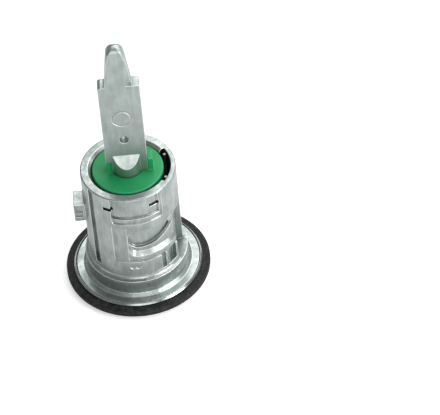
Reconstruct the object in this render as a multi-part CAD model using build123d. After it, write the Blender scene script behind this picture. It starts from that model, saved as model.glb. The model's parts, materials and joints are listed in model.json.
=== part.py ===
from build123d import *
from math import asin, cos, degrees, pi, radians, sin, sqrt
import os

# Car door lock cylinder, standing on its front face. Millimetres, +Z along the axis to the tail.
# A place round the axis is an angle from the front (-Y), positive towards +X.
# Radii are built up from the rotor outwards, heights from the front face to the rim.

# Rotor
ROTOR_R = 6.5
ROTOR_FIT = 0.06
HEAD_FIT = 0.2
HEAD_STEP = 0.9
HEAD_CLEAR = 0.15
KEY_WALL = 2.15
KEY_THICK = 2.3
NECK_DEPTH = 2.0
TAIL_STEP = 0.1
TAIL_THICK = 1.0
FACE_SHEET = 0.4
FACE_INSET = 0.1
FACE_EDGE = 0.2
FACE_SLOT_MARGIN = 0.4

# Wafers and their springs
WAFER_COUNT = 8
WAFER_FIRST_Z = 8.2
WAFER_REAR_ROOM = 3.1
WAFER_THICK = 1.0
WAFER_TRIM = 0.1
WAFER_FIT = 0.06
WAFER_REACH = 0.8
WAFER_CATCH = 1.7
WAFER_EAR = 1.5
WAFER_EAR_THICK = 1.0
WAFER_CODE = (0.0, 0.3, -0.3, 0.15, -0.15, 0.3, 0.0, -0.3)
SPRING_R = 0.6
SPRING_WIRE_R = 0.1
SPRING_TURNS = 4
SPRING_SEAT = 0.15
SPRING_END_GAP = 0.05
SPRING_WALL = 0.48
FINE_CHORDS = 8
FINE_SIDES = 4

# Dust shutter
SHUTTER_COVER = 0.7
SHUTTER_SHEET = 0.4
SHUTTER_REACH = 3.7
SHUTTER_PIN_Y = 2.2
SHUTTER_PIN_R = 0.35
SHUTTER_PIN_GRIP = 1.0
SHUTTER_BARREL_R = 0.75
SHUTTER_FIT = 0.05
SHUTTER_COIL_ROOM = 3.0
SHUTTER_COIL_TURNS = 5
SHUTTER_COIL_PITCH = 0.26

# Freewheel sleeve
SLEEVE_WALL = 1.28
SLEEVE_FIT = 0.06
SLEEVE_FRONT_GAP = 0.3

# Return spring
RETURN_WIRE_R = 0.4
RETURN_COILS = 3
RETURN_COIL_GAP = 0.1
RETURN_FIT = 0.275
RETURN_LEG_ANGLES = (66.0, 112.0)
RETURN_CHORDS = 24
RETURN_SIDES = 6

# Housing casting
CORE_WALL = 0.95
SKIN_DEPTH = 1.8
BARREL_LENGTH = 28.4
BOSS_STEP = 1.1
BOSS_HEIGHT = 4.9
BOSS_COVE_R = 1.0
BOSS_FOOT = 0.8
FLANGE_STEP = 2.65
FLANGE_GAP = 0.25
FLANGE_THICK = 2.6
RIM_EDGE = 0.35
RIM_BORE_EDGE = 0.8
REAR_BORE_DEPTH = 8.2
HEAD_BORE_STEP = 1.7
HEAD_BORE_DEPTH = 2.6

# Front cap, pressed sheet
CAP_SHEET = 0.5
CAP_LAP = 0.15
CAP_CORNER_R = 0.9
CAP_LIP_EDGE = 0.4
CAP_OPENING_GAP = 0.4

# Gasket round the cap
GASKET_WIDTH = 2.0
GASKET_FRONT_Z = 0.45
GASKET_HEIGHT = 1.9
GASKET_REAR_EDGE = 0.3
GASKET_FRONT_EDGE = 0.55

# Axial groove on the left of the barrel
GROOVE_AT = -54.5
GROOVE_WIDTH = 2.1
GROOVE_DEPTH = 1.6
GROOVE_FOOT = 2.2
GROOVE_HEAD = 0.35

# Lug
LUG_AT = -90.0
LUG_REACH = 2.6
LUG_WIDTH = 5.1
LUG_HEIGHT = 5.6
LUG_RISE = 13.2
LUG_STEP = 0.35
LUG_STEP_COUNT = 2
LUG_STEP_PITCH = 1.32
LUG_STEP_HEIGHT = 0.8
LUG_FOOT_R = 0.4

# D-shaped pocket over a shelf that slopes out, front right, open to the side recess
POCKET_FROM = -8.0
POCKET_RISE = 10.4
POCKET_HEIGHT = 6.9
POCKET_CORNER_R = 2.4
POCKET_FOOT_R = 16.0
POCKET_FOOT_AT = 8.0
SHELF_DEPTH = 1.0
SHELF_DROP = 2.4
SHELF_SLOPE_HEIGHT = 1.1
SHELF_STEP = 0.35
SHELF_STEP_HEIGHT = 1.9

# Window under the rim, front
WINDOW_FROM = -25.6
WINDOW_TO = 39.5
WINDOW_DEPTH = 0.75
WINDOW_STEP = 1.6
WINDOW_STEP_DEPTH = 0.3
WINDOW_LIP = 0.4
WINDOW_LAND = 2.4
WINDOW_CORNER_R = 0.8

# Flat panel between groove and pocket
PANEL_FROM = -27.0
PANEL_TO = -9.0
PANEL_DEPTH = 0.2
PANEL_RISE = 6.1
PANEL_HEIGHT = 12.3

# Recesses low on the front right
LOW_POCKET_FROM = 40.5
LOW_POCKET_TO = 57.5
LOW_SLOT_FROM = 32.0
LOW_SLOT_TO = 38.0
LOW_POCKET_RISE = 1.2
LOW_POCKET_HEIGHT = 4.9
LOW_SLOT_DEPTH = 0.7
LOW_POCKET_DEPTH = 1.2
SIDE_FROM = 61.0
SIDE_TO = 94.0
MARK_R = 0.75
MARK_DEPTH = 0.2
MARK_RISE = 4.4
MARK_ANGLES = (-5.1, 1.5)

# Back of the barrel
RAIL_FROM = 98.0
RAIL_DEPTH = 0.6
BACK_MARGIN = 2.0
BACK_TO = 232.0
SCOOP_FROM = 205.0
COLLAR_HEIGHT = 3.4
BAND_HEIGHT = 5.4
BULGE_RISE = 3.9
BULGE_HEIGHT = 6.4
BACK_RIB_AT = 166.0
BACK_RIB_WIDTH = 2.4
PANEL_BACK_DEPTH = 0.4
BACK_PANEL_LONG = 14.0
BACK_PANEL_SHORT = 6.5
BACK_PANEL_WIDTH = 20.0

# Gap beside the green disc, where the spring's legs stand
LEG_GAP_FROM = 55.0
LEG_GAP_TO = 120.0
LEG_GAP_DEPTH = 1.55

# Retaining clip and its slits
CLIP_SHEET = 0.8
CLIP_FIT = 0.1
CLIP_LEG_WIDTH = 2.3
CLIP_TIP_INSET = 1.9
CLIP_BOW_DEPTH = 1.0
CLIP_BOW_HALF = 45.0
CLIP_RIM_DROP = 4.4

# Green disc and its hooks
DISC_THICK = 1.5
DISC_INSET = 0.35
DISC_FIT = 0.3
DISC_EDGE = 0.25
HOOK_THICK = 1.25
HOOK_SIDE_WIDTH = 3.0
HOOK_HEIGHT = 3.8
HOOK_EDGE_R = 0.5
HOOK_FIT = 0.1
SKIRT_WALL = 1.0

# Tail blade
BLADE_WIDTH = 10.3
BLADE_THICK = 3.5
BLADE_LENGTH = 29.35
ROOT_R = 3.75
ROOT_COLLAR = 2.9
ROOT_FLANGE_STEP = 1.0
ROOT_FLANGE_THICK = 0.8
ROOT_SCOOP = 3.1
POINT_LENGTH = 12.1
POINT_WIDTH = 6.7
POINT_END_R = 2.2
POINT_NOSE_R = 2.5
FACET_WIDTH = 1.7
FACET_DEPTH = 0.6
SHOULDER_LEFT_R = 0.9
SHOULDER_RIGHT_R = 0.4
BLADE_HOLE_R = 1.15
BLADE_HOLE_RISE = 11.4
RING_R = 2.55
RING_WIDTH = 0.45
RING_DEPTH = 0.15
RING_RISE = 18.65
TONGUE_WALL = 0.9
TONGUE_THICK = 2.6
TONGUE_DEPTH = 3.6
TONGUE_FIT = 0.05

# How far a cutter runs past what it cuts
PAST = 1.0

# Radii worked out from the sizes above
NECK_R = ROTOR_R - NECK_DEPTH
TAIL_R = ROTOR_R - TAIL_STEP
SLEEVE_R = ROTOR_R + SLEEVE_FIT + SLEEVE_WALL
SLEEVE_BORE_R = SLEEVE_R + SLEEVE_FIT
HEAD_BORE_R = SLEEVE_BORE_R + HEAD_BORE_STEP
HEAD_R = HEAD_BORE_R - HEAD_FIT
HEAD_FACE_R = HEAD_R - HEAD_STEP
REAR_BORE_R = SLEEVE_BORE_R + 2 * RETURN_FIT + 2 * RETURN_WIRE_R
CORE_R = REAR_BORE_R + CORE_WALL
BARREL_R = CORE_R + SKIN_DEPTH
OUTSIDE_R = BARREL_R + PAST
BOSS_R = BARREL_R + BOSS_STEP
FLANGE_R = BOSS_R + FLANGE_STEP
CAP_R = FLANGE_R + FLANGE_GAP + CAP_SHEET
LUG_R = BARREL_R + LUG_REACH
LEG_GAP_R = REAR_BORE_R + LEG_GAP_DEPTH
RAIL_R = BARREL_R - RAIL_DEPTH
DISC_R = REAR_BORE_R - DISC_FIT
ROOT_FLANGE_R = TAIL_R - ROOT_FLANGE_STEP

# Heights worked out from the sizes above
FLANGE_FRONT = CAP_SHEET
FLANGE_REAR = FLANGE_FRONT + FLANGE_THICK
BOSS_TOP = FLANGE_REAR + BOSS_HEIGHT
RIM = BOSS_TOP + BARREL_LENGTH
HEAD_BORE_END = CAP_SHEET + HEAD_BORE_DEPTH
CLIP_Z = RIM - CLIP_RIM_DROP
CLIP_TOP = CLIP_Z + CLIP_SHEET
SLIT_LOW = CLIP_Z - CLIP_FIT
SLIT_TOP = CLIP_TOP + CLIP_FIT
TAIL_REAR = SLIT_TOP + TAIL_THICK
DISC_TOP = RIM - DISC_INSET
DISC_BOTTOM = DISC_TOP - DISC_THICK
SPRING_FLOOR = RIM - REAR_BORE_DEPTH
POCKET_LOW = BOSS_TOP + POCKET_RISE
POCKET_TOP = POCKET_LOW + POCKET_HEIGHT
SHELF_LOW = POCKET_LOW - SHELF_DROP
WAFER_PITCH = (CLIP_Z - WAFER_REAR_ROOM - WAFER_FIRST_Z) / WAFER_COUNT

# Widths and places worked out from the sizes above
BACK_FROM = LEG_GAP_TO + BACK_MARGIN
KEY_WIDTH = 2 * (ROTOR_R - KEY_WALL)
SHUTTER_LENGTH = KEY_WIDTH + SHUTTER_COVER
SHUTTER_PIN_LENGTH = SHUTTER_LENGTH + 2 * SHUTTER_PIN_GRIP
WAFER_WIDTH = ROTOR_R - WAFER_TRIM
WAFER_WINDOW = KEY_WIDTH - WAFER_CATCH
WAFER_SLOT = WAFER_WIDTH + 2 * WAFER_FIT
EAR_ROOM = WAFER_EAR + WAFER_FIT
POCKET_END = sqrt((ROTOR_R - SPRING_WALL) ** 2 - (WAFER_SLOT / 2 + EAR_ROOM) ** 2)
TONGUE_WIDTH = 2 * (NECK_R - TONGUE_WALL)

# A round or square bar stands on its lower face
FROM_BELOW = (Align.CENTER, Align.CENTER, Align.MIN)

# A whole turn round the axis, and the place opposite the front
TURN = 360.0
BACK = TURN / 2
# Two lengths closer than this are the same
SAME_LENGTH = 0.01
# An edge whose direction rises less than this runs in and out, not up
LEVEL_RISE = 0.8


def around(at):
    """A plane that stands on the axis and looks out at this place, its X tangential, its Z outwards."""
    out = Vector(sin(radians(at)), -cos(radians(at)), 0)
    return Plane(origin=(0, 0, 0), x_dir=Vector(0, 0, 1).cross(out), z_dir=out)


def spun(outline, start, end):
    """A closed outline of (radius, height) points, turned round the axis from one place to another."""
    face = make_face(Polyline(*[(r, 0, z) for r, z in outline], close=True))
    return Rot(0, 0, start - 90) * revolve(face, Axis.Z, end - start)


def sector(r_in, r_out, z_low, z_high, start=0.0, end=TURN):
    """A stretch of a ring with a rectangular section."""
    outline = [(r_in, z_low), (r_out, z_low), (r_out, z_high), (r_in, z_high)]
    return spun(outline, start, end)


def cylinder(radius, z_low, z_high):
    """A round bar on the axis."""
    return Pos(0, 0, z_low) * Cylinder(radius, z_high - z_low, align=FROM_BELOW)


def block(x_size, y_size, z_low, z_high, x=0.0, y=0.0):
    """A box between two heights, centred on x and y."""
    return Pos(x, y, z_low) * Box(x_size, y_size, z_high - z_low, align=FROM_BELOW)


def edges_at(shape, radius, height):
    """The round edges of a shape that lie at this radius and height."""
    found = []
    for edge in shape.edges().filter_by(GeomType.CIRCLE):
        same_radius = abs(edge.radius - radius) < SAME_LENGTH
        if same_radius and abs(edge.center(CenterOf.BOUNDING_BOX).Z - height) < SAME_LENGTH:
            found.append(edge)
    return found


def radial_edges(cut):
    """The straight edges of a spun cutter that run in and out, its left ones first."""
    lines = [e for e in cut.edges().filter_by(GeomType.LINE) if abs(e.tangent_at(0).Z) < LEVEL_RISE]
    return sorted(lines, key=lambda e: e.center().X)


def helix_points(radius, pitch, turns, chords, start=0.0, low=0.0):
    """Points on a helix round the axis, so many a turn, that keep the facets of a coil few."""
    steps = round(chords * turns)
    points = []
    for n in range(steps + 1):
        turned = turns * n / steps
        angle = radians(start) + 2 * pi * turned
        points.append((radius * cos(angle), radius * sin(angle), low + pitch * turned))
    return points


def wire(points, radius, sides):
    """Wire that runs along these points, with mitred bends."""
    path = Polyline(*points)
    section = Plane(path @ 0, z_dir=path % 0) * RegularPolygon(radius, sides)
    return sweep(section, path=path, transition=Transition.RIGHT)


def fine_coil(radius, pitch, turns):
    """A small coil of fine wire along +Z from the origin."""
    return wire(helix_points(radius, pitch, turns, FINE_CHORDS), SPRING_WIRE_R, FINE_SIDES)


def front_cap():
    """A pressed cup with a round opening for the rotor's face."""
    inner_r = CAP_R - CAP_SHEET
    top = FLANGE_REAR + CAP_LAP
    cup = cylinder(CAP_R, 0, top)
    cup = fillet(edges_at(cup, CAP_R, 0), CAP_CORNER_R)
    inner = cylinder(inner_r, CAP_SHEET, top + PAST)
    inner = chamfer(edges_at(inner, inner_r, CAP_SHEET), CAP_CORNER_R - CAP_SHEET)
    cup = chamfer(edges_at(cup, CAP_R, top), CAP_LIP_EDGE)
    opening_r = HEAD_FACE_R + CAP_OPENING_GAP
    return cup - inner - cylinder(opening_r, -PAST, CAP_SHEET + PAST)


def flange_gasket():
    """A rubber ring round the cap."""
    outer = CAP_R + GASKET_WIDTH
    top = GASKET_FRONT_Z + GASKET_HEIGHT
    outline = [
        (CAP_R, GASKET_FRONT_Z),
        (outer - GASKET_FRONT_EDGE, GASKET_FRONT_Z),
        (outer, GASKET_FRONT_Z + GASKET_FRONT_EDGE),
        (outer, top - GASKET_REAR_EDGE),
        (outer - GASKET_REAR_EDGE, top),
        (CAP_R, top),
    ]
    return spun(outline, 0, TURN)


def housing_body():
    """Flange, boss and barrel as one turned form."""
    outline = [
        (HEAD_BORE_R, FLANGE_FRONT),
        (FLANGE_R, FLANGE_FRONT),
        (FLANGE_R, FLANGE_REAR),
        (BOSS_R, FLANGE_REAR),
        (BOSS_R, BOSS_TOP),
        (BARREL_R, BOSS_TOP),
        (BARREL_R, RIM),
        (REAR_BORE_R, RIM),
        (REAR_BORE_R, SPRING_FLOOR),
        (SLEEVE_BORE_R, SPRING_FLOOR),
        (SLEEVE_BORE_R, HEAD_BORE_END),
        (HEAD_BORE_R, HEAD_BORE_END),
    ]
    body = spun(outline, 0, TURN)
    body = fillet(edges_at(body, BARREL_R, RIM), RIM_EDGE)
    body = fillet(edges_at(body, BARREL_R, BOSS_TOP), BOSS_COVE_R)
    body = chamfer(edges_at(body, BOSS_R, FLANGE_REAR), BOSS_FOOT)
    body = chamfer(edges_at(body, FLANGE_R, FLANGE_FRONT), CAP_CORNER_R - CAP_SHEET)
    return chamfer(edges_at(body, REAR_BORE_R, RIM), RIM_BORE_EDGE)


def axial_groove():
    """The cutter of the round-bottomed groove that runs down from under the rim's edge."""
    low = BOSS_TOP + GROOVE_FOOT
    length = RIM - GROOVE_HEAD - low
    half = GROOVE_WIDTH / 2
    centre = BARREL_R - GROOVE_DEPTH + half
    mouth = block(GROOVE_WIDTH, OUTSIDE_R - centre, low, low + length, y=-(OUTSIDE_R + centre) / 2)
    floor = Pos(0, -centre, low) * Cylinder(half, length, align=FROM_BELOW)
    return Rot(0, 0, GROOVE_AT) * (mouth + floor)


def lug():
    """The square lug, rounded along its outer edges, with small steps notched into its front flank."""
    low = BOSS_TOP + LUG_RISE
    root = (REAR_BORE_R + BARREL_R) / 2
    main = block(LUG_WIDTH, LUG_R - root, low, low + LUG_HEIGHT, y=-(LUG_R + root) / 2)
    main = fillet(main.edges().filter_by(Axis.Z).sort_by(Axis.Y)[:2], LUG_STEP)
    notch_x = (LUG_WIDTH - LUG_STEP) / 2
    for n in range(LUG_STEP_COUNT):
        foot = low + LUG_STEP_PITCH * (n + 1)
        reach = LUG_R - BARREL_R - LUG_FOOT_R
        main -= block(LUG_STEP, reach, foot, foot + LUG_STEP_HEIGHT, notch_x, -LUG_R + reach / 2)
    return Rot(0, 0, LUG_AT) * main


def window():
    """The shallow window under the rim, with a step along its foot and its right side."""
    top = RIM - WINDOW_LIP
    low = POCKET_TOP + WINDOW_LAND
    step = sector(BARREL_R - WINDOW_STEP_DEPTH, OUTSIDE_R, low, top, WINDOW_FROM, WINDOW_TO)
    inner_to = WINDOW_TO - degrees(WINDOW_STEP / 2 / BARREL_R)
    inner = sector(BARREL_R - WINDOW_DEPTH, OUTSIDE_R, low + WINDOW_STEP, top, WINDOW_FROM, inner_to)
    return [fillet(radial_edges(step), WINDOW_CORNER_R), inner]


def pocket():
    """The pocket: a core-deep D with a round foot, over a shelf that slopes out to the barrel's skin."""
    deep = sector(CORE_R, OUTSIDE_R, POCKET_LOW, POCKET_TOP, POCKET_FROM, SIDE_FROM)
    deep = fillet(radial_edges(deep)[:2], POCKET_CORNER_R)
    round_foot = around(POCKET_FOOT_AT) * Pos(0, POCKET_LOW + POCKET_FOOT_R, 0)
    deep = deep & round_foot * Cylinder(POCKET_FOOT_R, 2 * OUTSIDE_R)
    shelf_r = BARREL_R - SHELF_DEPTH
    slope = SHELF_SLOPE_HEIGHT / SHELF_DEPTH
    outline = [
        (shelf_r, SHELF_LOW + SHELF_SLOPE_HEIGHT),
        (OUTSIDE_R, SHELF_LOW - slope * PAST),
        (OUTSIDE_R, POCKET_TOP),
        (shelf_r, POCKET_TOP),
    ]
    shelf = spun(outline, POCKET_FROM, SIDE_FROM)
    return [deep, fillet(radial_edges(shelf)[:2], POCKET_CORNER_R)]


def front_recesses():
    """The shallow cuts of the barrel's front: panel, shelf step, low pockets and round marks."""
    low = BOSS_TOP + LOW_POCKET_RISE
    high = low + LOW_POCKET_HEIGHT
    step_low = SHELF_LOW - SHELF_STEP_HEIGHT
    panel_low = BOSS_TOP + PANEL_RISE
    panel_high = panel_low + PANEL_HEIGHT
    cuts = [
        sector(BARREL_R - PANEL_DEPTH, OUTSIDE_R, panel_low, panel_high, PANEL_FROM, PANEL_TO),
        sector(BARREL_R - SHELF_STEP, OUTSIDE_R, step_low, SHELF_LOW, PANEL_TO, SIDE_FROM),
        sector(BARREL_R - LOW_POCKET_DEPTH, OUTSIDE_R, low, high, LOW_POCKET_FROM, LOW_POCKET_TO),
        sector(BARREL_R - LOW_SLOT_DEPTH, OUTSIDE_R, low, high, LOW_SLOT_FROM, LOW_SLOT_TO),
        sector(CORE_R, OUTSIDE_R, BOSS_TOP, POCKET_TOP, SIDE_FROM, SIDE_TO),
    ]
    for at in MARK_ANGLES:
        mark = around(at) * Pos(0, BOSS_TOP + MARK_RISE, BARREL_R - MARK_DEPTH)
        cuts.append(mark * Cylinder(MARK_R, PAST, align=FROM_BELOW))
    return cuts


def back_recesses():
    """The relieved back of the barrel: neck, scoop, side rail and shallow panels."""
    collar = RIM - COLLAR_HEIGHT
    band = SLIT_LOW - BAND_HEIGHT
    bulge_low = BOSS_TOP + BULGE_RISE
    bulge_high = bulge_low + BULGE_HEIGHT
    panel_low = BOSS_TOP + BOSS_COVE_R
    half = degrees(asin(BACK_RIB_WIDTH / 2 / CORE_R))
    floor = CORE_R - PANEL_BACK_DEPTH
    left = BACK_RIB_AT - half
    right = BACK_RIB_AT + half
    return [
        sector(CORE_R, OUTSIDE_R, BOSS_TOP, collar, BACK_FROM, SCOOP_FROM),
        sector(CORE_R, OUTSIDE_R, SLIT_LOW, collar, SCOOP_FROM, BACK_TO),
        sector(CORE_R, OUTSIDE_R, bulge_high, band, SCOOP_FROM, BACK_TO),
        sector(CORE_R, OUTSIDE_R, BOSS_TOP, bulge_low, SCOOP_FROM, BACK_TO),
        sector(RAIL_R, OUTSIDE_R, BOSS_TOP, bulge_low, RAIL_FROM, BACK_FROM),
        sector(RAIL_R, OUTSIDE_R, bulge_high, band, RAIL_FROM, BACK_FROM),
        sector(floor, OUTSIDE_R, panel_low, panel_low + BACK_PANEL_LONG, left - BACK_PANEL_WIDTH, left),
        sector(floor, OUTSIDE_R, panel_low, panel_low + BACK_PANEL_SHORT, right, right + BACK_PANEL_WIDTH),
    ]


def clip_slits():
    """The flat passage of the retaining clip: two legs across the barrel and the bow behind."""
    offset = NECK_R + CLIP_FIT + CLIP_LEG_WIDTH / 2
    width = CLIP_LEG_WIDTH + 2 * CLIP_FIT
    slits = [block(width, 2 * OUTSIDE_R, SLIT_LOW, SLIT_TOP, x=side * offset) for side in (-1, 1)]
    bow_r = CORE_R - CLIP_BOW_DEPTH
    return slits + [sector(bow_r, OUTSIDE_R, SLIT_LOW, SLIT_TOP, BACK - CLIP_BOW_HALF, BACK + CLIP_BOW_HALF)]


def housing():
    """The zinc casting."""
    body = housing_body() + lug()
    body -= [axial_groove()] + window() + pocket()
    body -= front_recesses()
    body -= back_recesses()
    body -= clip_slits()
    gap_from = REAR_BORE_R - RIM_EDGE
    return body - sector(gap_from, LEG_GAP_R, SPRING_FLOOR, RIM + PAST, LEG_GAP_FROM, LEG_GAP_TO)


def retaining_clip():
    """A flat U of spring steel: its legs pass the rotor's neck, its bow lies behind."""
    inner = NECK_R + CLIP_FIT
    outer = inner + CLIP_LEG_WIDTH
    round_r = BARREL_R - CLIP_TIP_INSET
    disc = cylinder(round_r, CLIP_Z, CLIP_TOP)
    half = degrees(asin(outer / round_r))
    clip = sector(CORE_R - CLIP_BOW_DEPTH + CLIP_FIT, round_r, CLIP_Z, CLIP_TOP, BACK - half, BACK + half)
    for side in (-1, 1):
        clip += block(CLIP_LEG_WIDTH, 2 * BARREL_R, CLIP_Z, CLIP_TOP, x=side * (inner + outer) / 2) & disc
    return clip


def wafer_heights():
    """The lower face of each wafer."""
    return [WAFER_FIRST_Z + WAFER_PITCH * n for n in range(WAFER_COUNT)]


def wafer_side(number):
    """Which way a wafer's spring pushes it: the wafers point to one side and the other in turn."""
    return 1 if number % 2 == 0 else -1


def rotor():
    """The key barrel: head, body with keyway and wafer slots, neck for the clip and socketed tail."""
    head_low = CAP_SHEET + HEAD_CLEAR
    head_high = HEAD_BORE_END - HEAD_CLEAR
    body = cylinder(HEAD_FACE_R, FACE_INSET + FACE_SHEET, head_high) + cylinder(HEAD_R, head_low, head_high)
    body += cylinder(ROTOR_R, head_high, SLIT_LOW) + cylinder(NECK_R, SLIT_LOW, SLIT_TOP)
    body += cylinder(TAIL_R, SLIT_TOP, TAIL_REAR)
    body -= block(KEY_WIDTH, KEY_THICK, 0, wafer_heights()[-1] + WAFER_PITCH)
    body -= shutter_room()
    well = SPRING_R + SPRING_SEAT
    well_y = (WAFER_SLOT + EAR_ROOM) / 2
    for z in wafer_heights():
        middle = z + WAFER_THICK / 2
        body -= block(2 * HEAD_R, WAFER_SLOT, z - WAFER_FIT, z + WAFER_THICK + WAFER_FIT)
        body -= block(2 * POCKET_END, EAR_ROOM, middle - well, middle + well, y=well_y)
    socket_low = TAIL_REAR - TONGUE_DEPTH - TONGUE_FIT
    margin = 2 * TONGUE_FIT
    return body - block(TONGUE_WIDTH + margin, TONGUE_THICK + margin, socket_low, TAIL_REAR + PAST)


def shutter_z():
    """The height of the shutter's hinge axis."""
    return FACE_INSET + FACE_SHEET + SHUTTER_BARREL_R + SHUTTER_FIT


def shutter_axis():
    """A place on the shutter's hinge axis, its Z along the hinge."""
    return Pos(0, SHUTTER_PIN_Y, shutter_z()) * Rot(0, 90, 0)


def shutter_room():
    """The space that the dust shutter swings in, with the bore of its pin."""
    reach = SHUTTER_REACH + SHUTTER_BARREL_R
    back = SHUTTER_PIN_Y + SHUTTER_BARREL_R + 2 * SHUTTER_FIT
    front = SHUTTER_PIN_Y - reach
    length = SHUTTER_LENGTH + 6 * SHUTTER_FIT
    room = block(length, back - front, -PAST, shutter_z() + reach, y=(back + front) / 2)
    return [room, shutter_axis() * Cylinder(SHUTTER_PIN_R, SHUTTER_PIN_LENGTH)]


def dust_shutter():
    """A flap with a rolled barrel along its hinge edge, cut short for the coil."""
    hinge = shutter_z()
    low = hinge - SHUTTER_BARREL_R
    leaf_y = SHUTTER_PIN_Y - SHUTTER_REACH / 2
    leaf = block(SHUTTER_LENGTH, SHUTTER_REACH, low, low + SHUTTER_SHEET, y=leaf_y)
    barrel_length = SHUTTER_LENGTH - SHUTTER_COIL_ROOM
    barrel = shutter_axis() * Pos(0, 0, -SHUTTER_COIL_ROOM / 2) * Cylinder(SHUTTER_BARREL_R, barrel_length)
    bore = shutter_axis() * Cylinder(SHUTTER_PIN_R + SHUTTER_FIT, SHUTTER_PIN_LENGTH)
    margin = 4 * SHUTTER_FIT
    room_x = (SHUTTER_LENGTH - SHUTTER_COIL_ROOM + margin) / 2
    room_y = 2 * SHUTTER_BARREL_R + margin
    flap = leaf + barrel - bore
    return flap - block(SHUTTER_COIL_ROOM + margin, room_y, low - PAST, hinge + PAST, room_x, SHUTTER_PIN_Y)


def shutter_pin():
    """The shutter's hinge pin, fast in the rotor's head."""
    return shutter_axis() * Cylinder(SHUTTER_PIN_R, SHUTTER_PIN_LENGTH)


def shutter_spring():
    """The small torsion spring on the free end of the shutter's pin."""
    mean = SHUTTER_PIN_R + 2 * SHUTTER_FIT + SPRING_WIRE_R
    length = SHUTTER_COIL_PITCH * SHUTTER_COIL_TURNS
    start = (SHUTTER_LENGTH - SHUTTER_COIL_ROOM) / 2 - length / 2
    spring = fine_coil(mean, SHUTTER_COIL_PITCH, SHUTTER_COIL_TURNS)
    return shutter_axis() * Pos(0, 0, start) * spring


def rotor_face():
    """The bright sheet disc on the rotor's head, with the key slot."""
    disc = cylinder(HEAD_FACE_R, FACE_INSET, FACE_INSET + FACE_SHEET)
    disc = chamfer(edges_at(disc, HEAD_FACE_R, FACE_INSET), FACE_EDGE)
    outline = SlotOverall(KEY_WIDTH + FACE_SLOT_MARGIN, KEY_THICK + FACE_SLOT_MARGIN)
    return disc - Pos(0, 0, -PAST) * extrude(outline, FACE_SHEET + 2 * PAST)


def wafer(number):
    """A brass plate with a key window and an ear for its spring, pushed out to its own side."""
    low = wafer_heights()[number]
    high = low + WAFER_THICK
    side = wafer_side(number)
    round_r = ROTOR_R - WAFER_FIT
    plate = cylinder(round_r, low, high) & block(2 * ROTOR_R, WAFER_WIDTH, low, high)
    plate += block(WAFER_EAR_THICK, 2 * WAFER_EAR, low, high, y=WAFER_WIDTH / 2)
    gap = KEY_THICK + 4 * WAFER_FIT
    plate -= block(WAFER_WINDOW, gap, low - PAST, high + PAST, x=-side * WAFER_CODE[number])
    return Pos(side * WAFER_REACH, 0, 0) * plate


def wafer_spring(number):
    """The coil spring between a wafer's ear and the end of its pocket."""
    side = wafer_side(number)
    seat = SPRING_WIRE_R + SPRING_END_GAP
    ear = WAFER_REACH - WAFER_EAR_THICK / 2
    pitch = (ear + POCKET_END - 2 * seat) / SPRING_TURNS
    spring = fine_coil(SPRING_R - SPRING_WIRE_R, pitch, SPRING_TURNS)
    y = (WAFER_SLOT + EAR_ROOM) / 2
    z = wafer_heights()[number] + WAFER_THICK / 2
    return Pos(side * (ear - seat), y, z) * Rot(0, -90 * side, 0) * spring


def clutch_sleeve():
    """The freewheel sleeve, with a window on each side for the wafers' ends."""
    low = HEAD_BORE_END + SLEEVE_FRONT_GAP
    high = SLIT_LOW - SLEEVE_FRONT_GAP
    tube = cylinder(SLEEVE_R, low, high) - cylinder(ROTOR_R + SLEEVE_FIT, low - PAST, high + PAST)
    heights = wafer_heights()
    window_low = heights[0] - WAFER_THICK
    window_high = heights[-1] + 2 * WAFER_THICK
    return tube - block(2 * OUTSIDE_R, WAFER_WIDTH + 4 * WAFER_FIT, window_low, window_high)


def return_spring():
    """The torsion spring round the sleeve, with two legs that stand up in the gap beside the disc."""
    first, last = RETURN_LEG_ANGLES
    mean = SLEEVE_BORE_R + RETURN_FIT + RETURN_WIRE_R
    pitch = 2 * RETURN_WIRE_R + RETURN_COIL_GAP
    low = SPRING_FLOOR + RETURN_FIT + RETURN_WIRE_R
    turns = RETURN_COILS - (last - first) / TURN
    wound = helix_points(mean, pitch, turns, RETURN_CHORDS, last - 90, low)
    leg_r = LEG_GAP_R - RETURN_FIT - RETURN_WIRE_R
    legs = []
    for at, foot in ((last, low), (first, low + pitch * turns)):
        x = leg_r * sin(radians(at))
        y = -leg_r * cos(radians(at))
        legs.append([(x, y, DISC_TOP - DISC_EDGE), (x, y, foot)])
    return wire(legs[0] + wound + legs[1][::-1], RETURN_WIRE_R, RETURN_SIDES)


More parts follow.
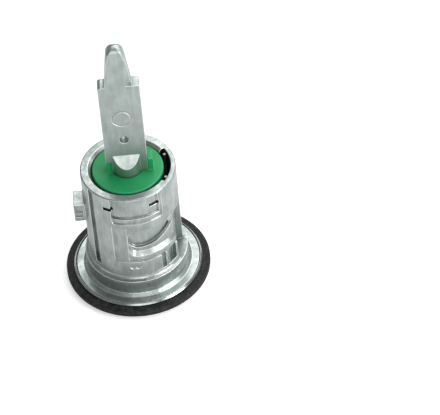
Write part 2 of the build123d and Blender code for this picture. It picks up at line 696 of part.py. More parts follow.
def blade_point(shoulder):
    """The tapered point: a round end in both views and a slanted facet on its right front edge."""
    end = shoulder + POINT_LENGTH
    foot = shoulder - PAST
    half = POINT_WIDTH / 2
    turn = end - POINT_END_R
    front = make_face(
        Polyline((POINT_END_R, 0, turn), (half, 0, shoulder), (half, 0, foot))
        + Polyline((half, 0, foot), (-half, 0, foot), (-half, 0, shoulder), (-POINT_END_R, 0, turn))
        + ThreePointArc((-POINT_END_R, 0, turn), (0, 0, end), (POINT_END_R, 0, turn))
    )
    thick = BLADE_THICK / 2
    bend = POINT_NOSE_R * sin(pi / 4)
    flank = make_face(
        Polyline((0, thick, end - thick), (0, thick, foot), (0, -thick, foot), (0, -thick, end - thick))
        + ThreePointArc((0, -thick, end - thick), (0, 0, end), (0, thick, end - thick))
    )
    nose_low = end - POINT_NOSE_R
    nose = make_face(
        Polyline((POINT_NOSE_R, 0, nose_low), (BLADE_WIDTH / 2, 0, foot), (0, 0, foot), (0, 0, end))
        + ThreePointArc((0, 0, end), (bend, 0, nose_low + bend), (POINT_NOSE_R, 0, nose_low))
    )
    point = extrude(front, thick, both=True) & extrude(flank, half, both=True) & revolve(nose, Axis.Z)
    inside = Vector(half - FACET_WIDTH, -thick, shoulder)
    outside = Vector(half, FACET_DEPTH - thick, shoulder)
    tip = Vector(POINT_END_R, -thick, turn)
    facet = Plane(origin=inside, x_dir=tip - inside, z_dir=(outside - inside).cross(tip - inside))
    side = 2 * POINT_LENGTH
    return point - facet * Box(side, side, BLADE_THICK, align=FROM_BELOW)


def blade_root():
    """The root: a flange in the rotor's tail, a round collar and a scoop up to each broad face."""
    root_top = DISC_TOP + ROOT_COLLAR
    face_low = root_top + ROOT_SCOOP
    root = cylinder(ROOT_R, TAIL_REAR, face_low)
    root += cylinder(ROOT_FLANGE_R, TAIL_REAR, TAIL_REAR + ROOT_FLANGE_THICK)
    face = BLADE_THICK / 2
    slope = ROOT_R - face
    out = -ROOT_R - slope
    outline = [(0, -face, face_low), (0, out, face_low), (0, out, root_top - ROOT_SCOOP)]
    cutter = extrude(make_face(Polyline(*outline, close=True)), BLADE_WIDTH, both=True)
    return root - cutter - Rot(0, 0, BACK) * cutter


def tail_blade():
    """The flat tail: tongue, scooped root, blade with its hole and ring mark, and tapered point."""
    shoulder = DISC_TOP + BLADE_LENGTH
    blade = block(BLADE_WIDTH, BLADE_THICK, DISC_TOP, shoulder)
    corners = blade.edges().filter_by(Axis.Y).group_by(Axis.Z)[-1].sort_by(Axis.X)
    blade = fillet(corners[0], SHOULDER_LEFT_R)
    corners = blade.edges().filter_by(Axis.Y).group_by(Axis.Z)[-1].sort_by(Axis.X)
    blade = fillet(corners[-1], SHOULDER_RIGHT_R)
    tongue = block(TONGUE_WIDTH, TONGUE_THICK, TAIL_REAR - TONGUE_DEPTH, TAIL_REAR)
    tail = blade + blade_point(shoulder) + blade_root() + tongue
    across = Rot(90, 0, 0)
    notch_width = HOOK_THICK + HOOK_FIT
    notch_x = (notch_width - BLADE_WIDTH) / 2
    notch_top = DISC_TOP + HOOK_HEIGHT + HOOK_FIT
    tail -= block(notch_width, 2 * BLADE_THICK, DISC_TOP - PAST, notch_top, x=notch_x)
    hole = Pos(0, 0, DISC_TOP + BLADE_HOLE_RISE) * across * Cylinder(BLADE_HOLE_R, 2 * BLADE_THICK)
    ring = Cylinder(RING_R, 2 * RING_DEPTH) - Cylinder(RING_R - RING_WIDTH, 2 * RING_DEPTH)
    mark = Pos(0, -BLADE_THICK / 2, DISC_TOP + RING_RISE) * across * ring
    return tail - hole - mark


def blade_retainer():
    """The green disc that closes the rear, with one hook beside the blade and one in its corner notch."""
    disc = cylinder(DISC_R, DISC_BOTTOM, DISC_TOP)
    disc = chamfer(edges_at(disc, DISC_R, DISC_TOP), DISC_EDGE)
    edge = BLADE_WIDTH / 2
    hook_top = DISC_TOP + HOOK_HEIGHT
    beside = block(HOOK_THICK, HOOK_SIDE_WIDTH, DISC_BOTTOM, hook_top, x=edge + HOOK_FIT + HOOK_THICK / 2)
    beside = fillet(beside.edges().filter_by(Axis.Y).group_by(Axis.Z)[-1].sort_by(Axis.X)[-1], HOOK_EDGE_R)
    within = block(HOOK_THICK, HOOK_SIDE_WIDTH, DISC_BOTTOM, hook_top, x=HOOK_THICK / 2 - edge)
    within = fillet(within.edges().filter_by(Axis.X).group_by(Axis.Z)[-1].sort_by(Axis.Y)[0], HOOK_EDGE_R)
    skirt_low = SLIT_TOP + CLIP_FIT
    socket_r = TAIL_R + ROTOR_FIT
    disc += [beside, within, cylinder(socket_r + SKIRT_WALL, skirt_low, DISC_BOTTOM)]
    disc -= cylinder(socket_r, skirt_low - PAST, DISC_BOTTOM)
    disc -= cylinder(ROOT_FLANGE_R + HOOK_FIT, skirt_low, TAIL_REAR + ROOT_FLANGE_THICK + HOOK_FIT)
    return disc - cylinder(ROOT_R + HOOK_FIT, skirt_low, DISC_TOP + PAST)


def write(name, shape):
    """One STEP file for one piece."""
    shape.label = name
    export_step(shape, os.path.join("parts", name + ".step"))


def main():
    """Build every piece and write it."""
    os.makedirs("parts", exist_ok=True)
    parts = {
        "housing": housing(),
        "front_cap": front_cap(),
        "flange_gasket": flange_gasket(),
        "rotor": rotor(),
        "rotor_face": rotor_face(),
        "dust_shutter": dust_shutter(),
        "shutter_pin": shutter_pin(),
        "shutter_spring": shutter_spring(),
        "clutch_sleeve": clutch_sleeve(),
        "tail_blade": tail_blade(),
        "blade_retainer": blade_retainer(),
        "retaining_clip": retaining_clip(),
        "return_spring": return_spring(),
    }
    for number in range(WAFER_COUNT):
        parts[f"wafer_{number + 1}"] = wafer(number)
        parts[f"wafer_spring_{number + 1}"] = wafer_spring(number)
    for name, shape in parts.items():
        write(name, shape)


main()
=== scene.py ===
import json
import math

import bpy
from mathutils import Matrix, Vector


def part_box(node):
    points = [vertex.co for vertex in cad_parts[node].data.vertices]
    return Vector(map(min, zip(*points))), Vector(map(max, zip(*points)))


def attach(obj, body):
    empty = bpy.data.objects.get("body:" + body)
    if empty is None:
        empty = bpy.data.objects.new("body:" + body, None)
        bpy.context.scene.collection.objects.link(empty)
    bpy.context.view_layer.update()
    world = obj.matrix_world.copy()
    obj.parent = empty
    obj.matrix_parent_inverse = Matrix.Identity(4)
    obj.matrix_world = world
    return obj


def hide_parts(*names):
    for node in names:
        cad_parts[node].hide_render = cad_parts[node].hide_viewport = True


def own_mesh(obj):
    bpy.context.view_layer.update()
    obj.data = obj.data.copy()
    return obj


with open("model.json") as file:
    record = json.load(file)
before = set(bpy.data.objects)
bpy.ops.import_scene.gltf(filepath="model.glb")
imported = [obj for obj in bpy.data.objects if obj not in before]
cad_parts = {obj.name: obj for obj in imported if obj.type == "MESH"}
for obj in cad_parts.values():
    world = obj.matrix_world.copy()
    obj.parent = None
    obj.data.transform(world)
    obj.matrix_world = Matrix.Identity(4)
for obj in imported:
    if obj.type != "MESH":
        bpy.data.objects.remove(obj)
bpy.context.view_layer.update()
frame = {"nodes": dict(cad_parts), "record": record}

bl_info = {
    "name": "Car door lock cylinder",
    "version": (1, 0, 0),
    "blender": (4, 5, 0),
    "location": "View3D > Sidebar > Lock",
    "description": "Finishes and stage of a car door lock cylinder",
    "category": "Object",
}

MM = 0.001

# The photograph's frame, in pixels, and where the gasket's centre lies in it
PHOTO_WIDTH = 440
PHOTO_HEIGHT = 415
RING_X = 138.4
RING_Y = 259.3

# The camera's sensor is full frame (millimetres), and the camera sees this far (metres)
SENSOR_WIDTH = 36.0
CAMERA_REACH = 100.0

# The card lies this far under the cap's flat face, so that the two never share a plane (metres)
FLOOR_GAP = 0.00005

# The lamps look at the middle of the barrel. Each has a place and a side, in metres
LAMP_AIM = (0, 0, 0.03)
TOP_PLACE, TOP_SIDE = (0.28, 0.32, 0.58), 0.95
FRONT_PLACE, FRONT_SIDE = (0.02, -0.63, 0.30), 0.46
SIDE_PLACE, SIDE_SIDE = (0.40, -0.26, 0.24), 0.26

# Colours of the stage
CARD = "#F2F2F2"
WHITE = "#FFFFFF"

# A noise pattern's values lie mostly between these two
NOISE_LOW = 0.3
NOISE_HIGH = 0.7

# An edge gets a painted highlight where its rounded normal leaves the flat one: the cosine at
# which that starts
HIGHLIGHT_STARTS = 0.998

# Sockets of a colour mix, by number, because the node gives several of them the same name
FACTOR, COLOUR_A, COLOUR_B, MIXED = 0, 6, 7, 2


def linear(hex_colour):
    """An sRGB hex value as the linear colour that a shader takes."""
    channels = [int(hex_colour[i:i + 2], 16) / 255 for i in (1, 3, 5)]
    light = [c / 12.92 if c <= 0.04045 else ((c + 0.055) / 1.055) ** 2.4 for c in channels]
    return (*light, 1.0)


def add_node(tree, kind, settings=None, inputs=None):
    """Add a node, set its properties and set or link its inputs."""
    node = tree.nodes.new(kind)
    for name, value in (settings or {}).items():
        setattr(node, name, value)
    for name, value in (inputs or {}).items():
        if isinstance(value, bpy.types.NodeSocket):
            tree.links.new(value, node.inputs[name])
        else:
            node.inputs[name].default_value = value
    return node


def new_material(name):
    """An empty node material and its tree."""
    material = bpy.data.materials.new(name)
    material.use_nodes = True
    tree = material.node_tree
    tree.nodes.clear()
    return material, tree


def close_material(tree, shader):
    """Link a shader to the material's output."""
    add_node(tree, "ShaderNodeOutputMaterial", inputs={"Surface": shader.outputs[0]})


def per_metre(size_mm):
    """The scale of a pattern whose features are this many millimetres across."""
    return 1.0 / (size_mm * MM)


def rounded_edges_and_highlight(tree, radius_mm, samples, full_at, most):
    """The normal with its edges rounded, and how strongly each edge gets a painted highlight."""
    edge = add_node(tree, "ShaderNodeBevel", {"samples": samples}, {"Radius": radius_mm * MM})
    face = add_node(tree, "ShaderNodeNewGeometry")
    turn = add_node(tree, "ShaderNodeVectorMath", {"operation": "DOT_PRODUCT"}, {
        0: edge.outputs["Normal"], 1: face.outputs["Normal"],
    })
    highlight_share = add_node(tree, "ShaderNodeMapRange", inputs={
        "Value": turn.outputs["Value"], "From Min": HIGHLIGHT_STARTS, "From Max": full_at,
        "To Min": 0.0, "To Max": most,
    })
    return edge.outputs["Normal"], highlight_share.outputs["Result"]


def cast_zinc(name, dark, light, highlight_colour, roughness, grain_mm, edge_mm, darkest_shade_factor):
    """Zinc alloy, pressure die-cast and tumbled: a satin grey with cloudy flow marks and a fine
    peened skin. Its convex edges get thin bright lines of painted highlight, and its corners and
    recesses are darkened by ambient occlusion as painted shade, down to the share given last."""
    material, tree = new_material(name)
    place = add_node(tree, "ShaderNodeTexCoord").outputs["Object"]
    clouds = add_node(tree, "ShaderNodeTexNoise", inputs={
        "Vector": place, "Scale": per_metre(5.0), "Detail": 5.0, "Roughness": 0.62,
    })
    # The melt ran along the barrel, so its marks are drawn out along Z
    drawn = add_node(tree, "ShaderNodeMapping", {"vector_type": "POINT"}, {
        "Vector": place, "Scale": (1.0, 1.0, 0.22),
    })
    flow = add_node(tree, "ShaderNodeTexNoise", inputs={
        "Vector": drawn.outputs["Vector"], "Scale": per_metre(1.6), "Detail": 4.0,
        "Roughness": 0.6,
    })
    # Real peening is about 0.1 mm: it is drawn coarser so that the render shows it
    grain = add_node(tree, "ShaderNodeTexNoise", inputs={
        "Vector": place, "Scale": per_metre(grain_mm), "Detail": 3.0, "Roughness": 0.65,
    })
    mottle = add_node(tree, "ShaderNodeMath", {"operation": "MULTIPLY_ADD"}, {
        0: flow.outputs["Fac"], 1: 1.1, 2: -0.55,
    })
    tone = add_node(tree, "ShaderNodeMath", {"operation": "ADD", "use_clamp": True}, {
        0: clouds.outputs["Fac"], 1: mottle.outputs[0],
    })
    skin_colour = add_node(tree, "ShaderNodeMix", {"data_type": "RGBA"}, {
        FACTOR: tone.outputs[0], COLOUR_A: dark, COLOUR_B: light,
    })
    # Painted shade: the colour is darkened in corners and recesses by their ambient occlusion,
    # felt over 1.2 mm
    corner_occlusion = add_node(tree, "ShaderNodeAmbientOcclusion", {"samples": 8}, {"Distance": 1.2 * MM})
    painted_corner_shade = add_node(tree, "ShaderNodeMapRange", inputs={
        "Value": corner_occlusion.outputs["AO"], "From Min": 0.3, "From Max": 0.9,
        "To Min": darkest_shade_factor, "To Max": 1.0,
    })
    shaded = add_node(tree, "ShaderNodeMix", {"data_type": "RGBA", "blend_type": "MULTIPLY"}, {
        FACTOR: 1.0, COLOUR_A: skin_colour.outputs[MIXED], COLOUR_B: painted_corner_shade.outputs["Result"],
    })
    # Painted highlight: thin bright lines on the convex edges, kept off the inner corners by the
    # occlusion
    rounded, highlight_share = rounded_edges_and_highlight(tree, edge_mm, samples=8, full_at=0.94, most=1.0)
    convex_highlight = add_node(tree, "ShaderNodeMath", {"operation": "MULTIPLY"}, {
        0: highlight_share, 1: corner_occlusion.outputs["AO"],
    })
    colour = add_node(tree, "ShaderNodeMix", {"data_type": "RGBA"}, {
        FACTOR: convex_highlight.outputs[0], COLOUR_A: shaded.outputs[MIXED], COLOUR_B: highlight_colour,
    })
    spread = add_node(tree, "ShaderNodeMapRange", inputs={
        "Value": tone.outputs[0], "From Min": NOISE_LOW, "From Max": NOISE_HIGH,
        "To Min": roughness + 0.08, "To Max": roughness - 0.06,
    })
    waves = add_node(tree, "ShaderNodeBump", inputs={
        "Height": flow.outputs["Fac"], "Strength": 0.6, "Distance": 0.10 * MM, "Normal": rounded,
    })
    skin = add_node(tree, "ShaderNodeBump", inputs={
        "Height": grain.outputs["Fac"], "Strength": 0.45, "Distance": 0.05 * MM,
        "Normal": waves.outputs["Normal"],
    })
    shader = add_node(tree, "ShaderNodeBsdfPrincipled", inputs={
        "Base Color": colour.outputs[MIXED], "Metallic": 1.0,
        "Roughness": spread.outputs["Result"], "Normal": skin.outputs["Normal"],
    })
    close_material(tree, shader)
    return material


def pressed_stainless(colour, roughness):
    """Stainless sheet, pressed and buffed: near-mirror, with faint turning rings and dull finger
    marks."""
    material, tree = new_material("buffed_stainless_sheet")
    place = add_node(tree, "ShaderNodeTexCoord").outputs["Object"]
    rings = add_node(tree, "ShaderNodeTexWave", {"wave_type": "RINGS", "rings_direction": "Z"}, {
        "Vector": place, "Scale": per_metre(0.35) / (2 * math.pi), "Distortion": 0.6,
        "Detail": 2.0,
    })
    smudge = add_node(tree, "ShaderNodeTexNoise", inputs={
        "Vector": place, "Scale": per_metre(4.0), "Detail": 4.0,
    })
    spread = add_node(tree, "ShaderNodeMapRange", inputs={
        "Value": smudge.outputs["Fac"], "From Min": NOISE_LOW, "From Max": NOISE_HIGH,
        "To Min": roughness - 0.05, "To Max": roughness + 0.08,
    })
    edge = add_node(tree, "ShaderNodeBevel", {"samples": 6}, {"Radius": 0.12 * MM})
    lines = add_node(tree, "ShaderNodeBump", inputs={
        "Height": rings.outputs["Fac"], "Strength": 0.06, "Distance": 0.02 * MM,
        "Normal": edge.outputs["Normal"],
    })
    shader = add_node(tree, "ShaderNodeBsdfPrincipled", inputs={
        "Base Color": colour, "Metallic": 1.0, "Roughness": spread.outputs["Result"],
        "Normal": lines.outputs["Normal"],
    })
    close_material(tree, shader)
    return material


def moulded_rubber(dark, bloom):
    """EPDM rubber, moulded: deep black, dull, with grey specks of bloom that take the gloss off
    it."""
    material, tree = new_material("moulded_epdm_rubber")
    place = add_node(tree, "ShaderNodeTexCoord").outputs["Object"]
    film = add_node(tree, "ShaderNodeTexNoise", inputs={
        "Vector": place, "Scale": per_metre(0.9), "Detail": 6.0, "Roughness": 0.7,
    })
    grit = add_node(tree, "ShaderNodeTexNoise", inputs={
        "Vector": place, "Scale": per_metre(0.7), "Detail": 3.0,
    })
    patches = add_node(tree, "ShaderNodeMapRange", inputs={
        "Value": film.outputs["Fac"], "From Min": 0.44, "From Max": 0.64,
        "To Min": 0.0, "To Max": 1.0,
    })
    colour = add_node(tree, "ShaderNodeMix", {"data_type": "RGBA"}, {
        FACTOR: patches.outputs["Result"], COLOUR_A: dark, COLOUR_B: bloom,
    })
    spread = add_node(tree, "ShaderNodeMapRange", inputs={
        "Value": film.outputs["Fac"], "From Min": 0.35, "From Max": 0.68,
        "To Min": 0.5, "To Max": 0.85,
    })
    edge = add_node(tree, "ShaderNodeBevel", {"samples": 6}, {"Radius": 0.25 * MM})
    skin = add_node(tree, "ShaderNodeBump", inputs={
        "Height": grit.outputs["Fac"], "Strength": 1.0, "Distance": 0.2 * MM,
        "Normal": edge.outputs["Normal"],
    })
    shader = add_node(tree, "ShaderNodeBsdfPrincipled", inputs={
        "Base Color": colour.outputs[MIXED], "Roughness": spread.outputs["Result"], "IOR": 1.52,
        "Specular IOR Level": 0.34, "Normal": skin.outputs["Normal"],
    })
    close_material(tree, shader)
    return material


def moulded_acetal(dark, light, highlight_colour):
    """Acetal, injection moulded in green: an even body with faint flow swirls, a soft satin gloss
    and a painted highlight that makes its edges paler."""
    material, tree = new_material("moulded_green_acetal")
    place = add_node(tree, "ShaderNodeTexCoord").outputs["Object"]
    swirl = add_node(tree, "ShaderNodeTexNoise", inputs={
        "Vector": place, "Scale": per_metre(3.0), "Detail": 4.0, "Distortion": 0.8,
    })
    grit = add_node(tree, "ShaderNodeTexNoise", inputs={
        "Vector": place, "Scale": per_metre(0.25), "Detail": 3.0,
    })
    body = add_node(tree, "ShaderNodeMix", {"data_type": "RGBA"}, {
        FACTOR: swirl.outputs["Fac"], COLOUR_A: dark, COLOUR_B: light,
    })
    # Painted highlight: paler lines on the rounded edges
    rounded, highlight_share = rounded_edges_and_highlight(tree, 0.22, samples=6, full_at=0.92, most=0.8)
    colour = add_node(tree, "ShaderNodeMix", {"data_type": "RGBA"}, {
        FACTOR: highlight_share, COLOUR_A: body.outputs[MIXED], COLOUR_B: highlight_colour,
    })
    skin = add_node(tree, "ShaderNodeBump", inputs={
        "Height": grit.outputs["Fac"], "Strength": 0.15, "Distance": 0.03 * MM,
        "Normal": rounded,
    })
    shader = add_node(tree, "ShaderNodeBsdfPrincipled", inputs={
        "Base Color": colour.outputs[MIXED], "Roughness": 0.48, "IOR": 1.48,
        "Normal": skin.outputs["Normal"],
    })
    close_material(tree, shader)
    return material


def drawn_steel(colour):
    """Spring steel, drawn and oil-tempered: grey, a little mottled in gloss by its thin film."""
    material, tree = new_material("oil_tempered_spring_steel")
    place = add_node(tree, "ShaderNodeTexCoord").outputs["Object"]
    film = add_node(tree, "ShaderNodeTexNoise", inputs={
        "Vector": place, "Scale": per_metre(0.4), "Detail": 3.0, "Roughness": 0.6,
    })
    spread = add_node(tree, "ShaderNodeMapRange", inputs={
        "Value": film.outputs["Fac"], "From Min": NOISE_LOW, "From Max": NOISE_HIGH,
        "To Min": 0.28, "To Max": 0.42,
    })
    edge = add_node(tree, "ShaderNodeBevel", {"samples": 4}, {"Radius": 0.15 * MM})
    skin = add_node(tree, "ShaderNodeBump", inputs={
        "Height": film.outputs["Fac"], "Strength": 0.15, "Distance": 0.02 * MM,
        "Normal": edge.outputs["Normal"],
    })
    shader = add_node(tree, "ShaderNodeBsdfPrincipled", inputs={
        "Base Color": colour, "Metallic": 1.0, "Roughness": spread.outputs["Result"],
        "Normal": skin.outputs["Normal"],
    })
    close_material(tree, shader)
    return material


def stamped_brass(colour):
    """Brass strip, stamped: warm yellow, satin on its faces and a little burnished by the key."""
    material, tree = new_material("stamped_brass_strip")
    place = add_node(tree, "ShaderNodeTexCoord").outputs["Object"]
    wear = add_node(tree, "ShaderNodeTexNoise", inputs={
        "Vector": place, "Scale": per_metre(1.5), "Detail": 4.0,
    })
    spread = add_node(tree, "ShaderNodeMapRange", inputs={
        "Value": wear.outputs["Fac"], "From Min": NOISE_LOW, "From Max": NOISE_HIGH,
        "To Min": 0.22, "To Max": 0.42,
    })
    edge = add_node(tree, "ShaderNodeBevel", {"samples": 4}, {"Radius": 0.08 * MM})
    shader = add_node(tree, "ShaderNodeBsdfPrincipled", inputs={
        "Base Color": colour, "Metallic": 1.0, "Roughness": spread.outputs["Result"],
        "Normal": edge.outputs["Normal"],
    })
    close_material(tree, shader)
    return material


def dress(mesh, material):
    """Give a mesh one finish all over."""
    mesh.materials.clear()
    mesh.materials.append(material)


def dress_node(node, material):
    """Give a node of the frame its finish."""
    dress(frame["nodes"][node].data, material)


def shortening_spring(node, material):
    """A copy of a wafer's spring that stands for it, hung on the rotor's body."""
    spring = bpy.data.objects.new(node + "_coil", frame["nodes"][node].data.copy())
    dress(spring.data, material)
    bpy.context.scene.collection.objects.link(spring)
    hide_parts(node)
    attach(spring, "rotor")
    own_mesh(spring)


class LockFinishes(bpy.types.PropertyGroup):
    """Colours and dullness of the lock's finishes."""

    zinc_dark: bpy.props.FloatVectorProperty(
        name="Zinc, dark", description="Darker tone of the housing's casting", subtype="COLOR",
        size=4, min=0.0, max=1.0, default=linear("#808A87"),
    )
    zinc_light: bpy.props.FloatVectorProperty(
        name="Zinc, light", description="Lighter tone of the housing's casting", subtype="COLOR",
        size=4, min=0.0, max=1.0, default=linear("#C6CECB"),
    )
    tail_dark: bpy.props.FloatVectorProperty(
        name="Tail, dark", description="Darker tone of the tail's casting", subtype="COLOR",
        size=4, min=0.0, max=1.0, default=linear("#939E9B"),
    )
    tail_light: bpy.props.FloatVectorProperty(
        name="Tail, light", description="Lighter tone of the tail's casting", subtype="COLOR",
        size=4, min=0.0, max=1.0, default=linear("#C3CCC9"),
    )
    # Colour of the painted highlight on the castings' edges
    zinc_highlight: bpy.props.FloatVectorProperty(
        name="Zinc, worn", description="Tone of the castings' rubbed edges", subtype="COLOR",
        size=4, min=0.0, max=1.0, default=linear("#F1F4F3"),
    )
    zinc_roughness: bpy.props.FloatProperty(
        name="Zinc roughness", description="Dullness of the housing's casting", subtype="FACTOR",
        default=0.31, min=0.0, max=1.0,
    )
    sheet: bpy.props.FloatVectorProperty(
        name="Sheet", description="Tone of the stainless sheet", subtype="COLOR",
        size=4, min=0.0, max=1.0, default=linear("#AAB2AF"),
    )
    rubber: bpy.props.FloatVectorProperty(
        name="Rubber", description="Black of the gasket", subtype="COLOR",
        size=4, min=0.0, max=1.0, default=linear("#040505"),
    )
    bloom: bpy.props.FloatVectorProperty(
        name="Bloom", description="Grey specks on the gasket", subtype="COLOR",
        size=4, min=0.0, max=1.0, default=linear("#343535"),
    )
    green_dark: bpy.props.FloatVectorProperty(
        name="Green, dark", description="Darker tone of the disc", subtype="COLOR",
        size=4, min=0.0, max=1.0, default=linear("#0A8A4B"),
    )
    green_light: bpy.props.FloatVectorProperty(
        name="Green, light", description="Lighter tone of the disc", subtype="COLOR",
        size=4, min=0.0, max=1.0, default=linear("#189B5D"),
    )
    # Colour of the painted highlight on the disc's edges
    green_highlight: bpy.props.FloatVectorProperty(
        name="Green, worn", description="Tone of the disc's rubbed edges", subtype="COLOR",
        size=4, min=0.0, max=1.0, default=linear("#5CC796"),
    )
    steel: bpy.props.FloatVectorProperty(
        name="Spring steel", description="Tone of springs, clip, pin and sleeve", subtype="COLOR",
        size=4, min=0.0, max=1.0, default=linear("#8E9294"),
    )
    brass: bpy.props.FloatVectorProperty(
        name="Brass", description="Tone of the wafers", subtype="COLOR",
        size=4, min=0.0, max=1.0, default=linear("#D1AE6A"),
    )


class LockStage(bpy.types.PropertyGroup):
    """Camera, lamps and floor."""

    azimuth: bpy.props.FloatProperty(
        name="Azimuth", description="Place of the camera round the lock, from the front",
        default=math.radians(2.0), subtype="ANGLE",
    )
    elevation: bpy.props.FloatProperty(
        name="Elevation", description="Height of the camera as an angle",
        default=math.radians(46.9), subtype="ANGLE",
    )
    roll: bpy.props.FloatProperty(
        name="Roll", description="Turn of the camera round its own axis",
        default=math.radians(-6.7), subtype="ANGLE",
    )
    distance: bpy.props.FloatProperty(
        name="Distance", description="From the camera to the gasket", default=0.770, unit="LENGTH",
    )
    lens: bpy.props.FloatProperty(
        name="Lens", description="Focal length in millimetres", default=245.0,
    )
    floor_size: bpy.props.FloatProperty(
        name="Floor", description="Side of the floor", default=6.0, unit="LENGTH",
    )
    floor_glow: bpy.props.FloatProperty(
        name="Floor glow", description="Light that the floor shows to the camera alone",
        default=0.45, min=0.0,
    )
    room_light: bpy.props.FloatProperty(
        name="Room light", description="Strength of the white room as light",
        default=0.3, min=0.0,
    )
    top_power: bpy.props.FloatProperty(
        name="Top lamp", description="Power of the large softbox above and behind",
        default=5.4, min=0.0, unit="POWER",
    )
    front_power: bpy.props.FloatProperty(
        name="Front lamp", description="Power of the low softbox in front",
        default=1.3, min=0.0, unit="POWER",
    )
    side_power: bpy.props.FloatProperty(
        name="Side lamp", description="Power of the small softbox at the right",
        default=1.5, min=0.0, unit="POWER",
    )


class LOCK_OT_castings(bpy.types.Operator):
    """Finish the zinc castings: housing, rotor and tail."""

    bl_idname = "lock.castings"
    bl_label = "Castings"

    def execute(self, context):
        look = context.scene.lock_finishes
        # The last argument is how dark the painted shade in the corners gets
        housing = cast_zinc(
            "tumbled_cast_zinc", look.zinc_dark, look.zinc_light, look.zinc_highlight,
            look.zinc_roughness, grain_mm=0.45, edge_mm=0.28, darkest_shade_factor=0.6,
        )
        # The tail is tumbled less, so it is duller, and its corners get deeper painted shade
        tail = cast_zinc(
            "matt_cast_zinc", look.tail_dark, look.tail_light, look.zinc_highlight,
            look.zinc_roughness + 0.08, grain_mm=0.4, edge_mm=0.25, darkest_shade_factor=0.3,
        )
        dress_node("housing", housing)
        dress_node("rotor", housing)
        dress_node("tail_blade", tail)
        return {"FINISHED"}


class LOCK_OT_sheet_metal(bpy.types.Operator):
    """Finish the stainless cap, the rotor's face and the dust shutter."""

    bl_idname = "lock.sheet_metal"
    bl_label = "Sheet metal"

    def execute(self, context):
        look = context.scene.lock_finishes
        steel = pressed_stainless(look.sheet, roughness=0.16)
        for node in ("front_cap", "rotor_face", "dust_shutter"):
            dress_node(node, steel)
        return {"FINISHED"}


class LOCK_OT_gasket(bpy.types.Operator):
    """Finish the rubber gasket."""

    bl_idname = "lock.gasket"
    bl_label = "Gasket"

    def execute(self, context):
        look = context.scene.lock_finishes
        dress_node("flange_gasket", moulded_rubber(look.rubber, look.bloom))
        return {"FINISHED"}


class LOCK_OT_green_disc(bpy.types.Operator):
    """Finish the green disc that holds the blade."""

    bl_idname = "lock.green_disc"
    bl_label = "Green disc"

    def execute(self, context):
        look = context.scene.lock_finishes
        green = moulded_acetal(look.green_dark, look.green_light, look.green_highlight)
        dress_node("blade_retainer", green)
        return {"FINISHED"}


class LOCK_OT_works(bpy.types.Operator):
    """Finish the inner works: wafers, sleeve, pin, springs and clip."""

    bl_idname = "lock.works"
    bl_label = "Inner works"

    def execute(self, context):
        look = context.scene.lock_finishes
        wire = drawn_steel(look.steel)
        brass = stamped_brass(look.brass)
        for node in frame["nodes"]:
            if "spring" in node or node in ("retaining_clip", "shutter_pin", "clutch_sleeve"):
                dress_node(node, wire)
            elif node.startswith("wafer_"):
                dress_node(node, brass)
        for joint in frame["record"]["behaviour"]["joints"]:
            for soft in joint.get("deforming_nodes", ()):
                shortening_spring(soft["node"], wire)
        return {"FINISHED"}


def add_lamp(name, place, side, power):
    """A square soft lamp that looks at the barrel."""
    lamp = bpy.data.lights.new(name, "AREA")
    lamp.size = side
    lamp.energy = power
    holder = bpy.data.objects.new(name, lamp)
    holder.location = place
    ray = Vector(LAMP_AIM) - Vector(place)
    holder.rotation_euler = ray.to_track_quat("-Z", "Y").to_euler()
    bpy.context.scene.collection.objects.link(holder)


def floor_material(glow_strength):
    """Matt white card: it keeps a soft shadow and shows as a white ground."""
    material, tree = new_material("matt_white_card")
    card = add_node(tree, "ShaderNodeBsdfDiffuse", inputs={"Color": linear(CARD)})
    glow = add_node(tree, "ShaderNodeEmission", inputs={
        "Color": linear(WHITE), "Strength": glow_strength,
    })
    lit = add_node(tree, "ShaderNodeAddShader", inputs={0: card.outputs[0], 1: glow.outputs[0]})
    ray = add_node(tree, "ShaderNodeLightPath")
    ground = add_node(tree, "ShaderNodeMixShader", inputs={
        "Fac": ray.outputs["Is Camera Ray"], 1: card.outputs[0], 2: lit.outputs[0],
    })
    close_material(tree, ground)
    return material


def white_world(fill_strength):
    """A white room: strength 1 where it is seen, softer as light on the lock."""
    world = bpy.data.worlds.new("white_room")
    world.use_nodes = True
    tree = world.node_tree
    tree.nodes.clear()
    ray = add_node(tree, "ShaderNodeLightPath")
    strength = add_node(tree, "ShaderNodeMapRange", inputs={
        "Value": ray.outputs["Is Camera Ray"], "To Min": fill_strength, "To Max": 1.0,
    })
    light = add_node(tree, "ShaderNodeBackground", inputs={
        "Color": linear(WHITE), "Strength": strength.outputs["Result"],
    })
    add_node(tree, "ShaderNodeOutputWorld", inputs={"Surface": light.outputs[0]})
    bpy.context.scene.world = world


def place_camera(stage):
    """The camera, aimed so that the gasket's centre lands where the photograph has it."""
    low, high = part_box("flange_gasket")
    target = Vector(((low[0] + high[0]) / 2, (low[1] + high[1]) / 2, high[2]))
    away = Vector((
        math.sin(stage.azimuth) * math.cos(stage.elevation),
        -math.cos(stage.azimuth) * math.cos(stage.elevation),
        math.sin(stage.elevation),
    ))
    camera = bpy.data.cameras.new("camera")
    camera.lens = stage.lens
    camera.sensor_width = SENSOR_WIDTH
    camera.clip_end = CAMERA_REACH
    focal_px = stage.lens / SENSOR_WIDTH * PHOTO_WIDTH
    seen = Vector((RING_X - PHOTO_WIDTH / 2, PHOTO_HEIGHT / 2 - RING_Y, -focal_px)).normalized()
    turn = Vector((0, 0, -1)).rotation_difference(seen)
    roll = Matrix.Rotation(stage.roll, 3, "Z").to_quaternion()
    look = (-away).to_track_quat("-Z", "Y") @ roll
    holder = bpy.data.objects.new("camera", camera)
    holder.rotation_euler = (look @ turn.inverted()).to_euler()
    holder.location = target + away * stage.distance
    bpy.context.scene.collection.objects.link(holder)
    bpy.context.scene.camera = holder


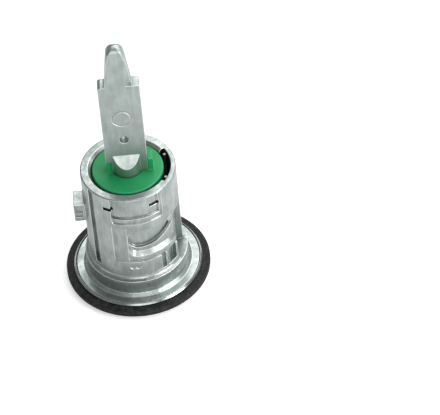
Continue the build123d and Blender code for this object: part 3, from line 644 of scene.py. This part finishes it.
def lay_floor(size, glow_strength):
    """A square of card under the lock."""
    half = size / 2
    square = ((-half, -half), (half, -half), (half, half), (-half, half))
    mesh = bpy.data.meshes.new("floor")
    mesh.from_pydata([(x, y, -FLOOR_GAP) for x, y in square], [], [(0, 1, 2, 3)])
    mesh.materials.append(floor_material(glow_strength))
    floor = bpy.data.objects.new("floor", mesh)
    bpy.context.scene.collection.objects.link(floor)


class LOCK_OT_stage(bpy.types.Operator):
    """Set up the floor, the soft lamps, the white room and the camera."""

    bl_idname = "lock.stage"
    bl_label = "Stage"

    def execute(self, context):
        stage = context.scene.lock_stage
        lay_floor(stage.floor_size, stage.floor_glow)
        white_world(stage.room_light)
        add_lamp("top_softbox", TOP_PLACE, TOP_SIDE, stage.top_power)
        add_lamp("front_softbox", FRONT_PLACE, FRONT_SIDE, stage.front_power)
        add_lamp("side_softbox", SIDE_PLACE, SIDE_SIDE, stage.side_power)
        context.scene.view_settings.view_transform = "Standard"
        place_camera(stage)
        return {"FINISHED"}


class LOCK_PT_panel(bpy.types.Panel):
    """Lists the lock's groups of pieces and its stage."""

    bl_label = "Lock"
    bl_idname = "LOCK_PT_panel"
    bl_space_type = "VIEW_3D"
    bl_region_type = "UI"
    bl_category = "Lock"

    def draw(self, context):
        for name in STEPS:
            self.layout.operator("lock." + name)


STEPS = ("castings", "sheet_metal", "gasket", "green_disc", "works", "stage")

CLASSES = (
    LockFinishes,
    LockStage,
    LOCK_OT_castings,
    LOCK_OT_sheet_metal,
    LOCK_OT_gasket,
    LOCK_OT_green_disc,
    LOCK_OT_works,
    LOCK_OT_stage,
    LOCK_PT_panel,
)


def register():
    for cls in CLASSES:
        bpy.utils.register_class(cls)
    bpy.types.Scene.lock_finishes = bpy.props.PointerProperty(type=LockFinishes)
    bpy.types.Scene.lock_stage = bpy.props.PointerProperty(type=LockStage)


def unregister():
    del bpy.types.Scene.lock_stage
    del bpy.types.Scene.lock_finishes
    for cls in reversed(CLASSES):
        bpy.utils.unregister_class(cls)


def main():
    register()
    for name in STEPS:
        getattr(bpy.ops.lock, name)()


if __name__ == "__main__":
    main()
